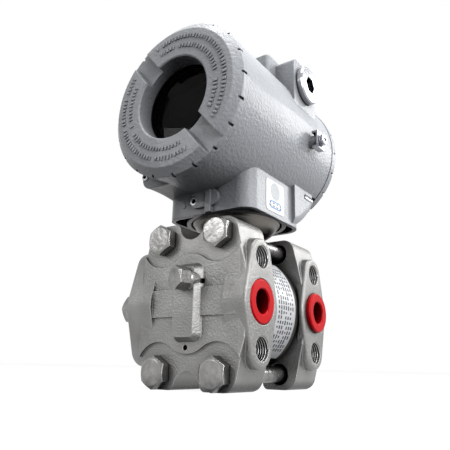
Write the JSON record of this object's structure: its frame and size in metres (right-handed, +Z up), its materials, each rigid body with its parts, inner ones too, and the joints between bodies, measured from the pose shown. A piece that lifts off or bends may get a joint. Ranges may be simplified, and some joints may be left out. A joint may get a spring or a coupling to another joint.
{
  "type": "pressure transmitter",
  "caption": "Differential pressure transmitter: round two-compartment housing with window cover on a neck above a cell clamped between two cast process flanges.",
  "frame": {"origin": "bottom centre of the overall box, on the surface that the flange feet stand on", "axes": "+Z up along the neck, -Y towards the window cover, +X out of the open process ports"},
  "size_m": [0.0987, 0.1112, 0.1809],
  "materials": {
    "paint": "light grey powder coat, fine orange peel",
    "glass": "clear, dark behind",
    "rubber": "matte",
    "aluminium": "turned",
    "black_plastic": "matte",
    "screen": "smooth",
    "plated_steel": "bright",
    "label": "film",
    "stainless": "turned",
    "gasket": "matte",
    "cast_stainless": "bead blasted casting",
    "bolt_steel": "bright, forged head",
    "red_plastic": "satin"
  },
  "bodies": {
    "cell": {"cell_body": "stainless", "cell_label": "label", "sensor_capsule": "stainless", "front_diaphragm": "stainless", "rear_diaphragm": "stainless", "front_gasket": "gasket", "rear_gasket": "gasket", "front_flange": "cast_stainless", "rear_flange": "cast_stainless", "flange_bolts": "bolt_steel", "flange_nuts": "bolt_steel", "front_side_plug": "bolt_steel", "rear_side_plug": "bolt_steel", "front_port_plug": "red_plastic", "rear_port_plug": "red_plastic", "neck": "stainless", "neck_seal": "rubber"},
    "housing": {"main_housing": "paint", "display_module": "black_plastic", "display_screen": "screen", "electronics_module": "black_plastic", "terminal_block": "black_plastic", "terminal_screws": "plated_steel", "right_entry_plug": "plated_steel", "left_entry_plug": "plated_steel", "right_entry_seal": "rubber", "left_entry_seal": "rubber", "ground_clamp": "plated_steel", "ground_washer": "plated_steel", "ground_screw": "plated_steel", "front_lock_screw": "plated_steel", "rear_lock_screw": "plated_steel", "neck_set_screw": "plated_steel", "side_label": "label"},
    "front_thread": {"front_cover_seal": "rubber"},
    "front_lid": {"front_cover": "paint", "window_glass": "glass", "window_gasket": "rubber", "glass_retainer": "aluminium"},
    "rear_thread": {"rear_cover_seal": "rubber"},
    "rear_lid": {"rear_cover": "paint"},
    "front_vent": {"front_vent_screw": "bolt_steel"},
    "rear_vent": {"rear_vent_screw": "bolt_steel"}
  },
  "joints": [
    {"name": "housing_turn", "type": "hinge", "parent": "cell", "child": "housing", "pos_m": [0, 0.0029, 0.095], "axis": [0, 0, 1], "range_deg": [-180, 180]},
    {"name": "front_cover_travel", "type": "slide", "parent": "housing", "child": "front_thread", "axis": [0, -1, 0], "range_m": [0, 0.012]},
    {"name": "front_cover_turn", "type": "hinge", "parent": "front_thread", "child": "front_lid", "pos_m": [0, -0.0476, 0.1384], "axis": [0, -1, 0], "range_deg": [0, 2160]},
    {"name": "rear_cover_travel", "type": "slide", "parent": "housing", "child": "rear_thread", "axis": [0, 1, 0], "range_m": [0, 0.012]},
    {"name": "rear_cover_turn", "type": "hinge", "parent": "rear_thread", "child": "rear_lid", "pos_m": [0, 0.0444, 0.1384], "axis": [0, 1, 0], "range_deg": [0, 2160]},
    {"name": "front_vent_turn", "type": "hinge", "parent": "cell", "child": "front_vent", "pos_m": [0.0026, -0.0407, 0.0498], "axis": [-0.2419, -0.9703, 0], "range_deg": [0, 360]},
    {"name": "rear_vent_turn", "type": "hinge", "parent": "cell", "child": "rear_vent", "pos_m": [-0.0026, 0.0465, 0.0498], "axis": [0.2419, 0.9703, 0], "range_deg": [0, 360]}
  ],
  "couplings": [
    {"joint": "front_cover_travel", "follows": "front_cover_turn", "m_per_rad": 0.00031831},
    {"joint": "rear_cover_travel", "follows": "rear_cover_turn", "m_per_rad": 0.00031831}
  ]
}
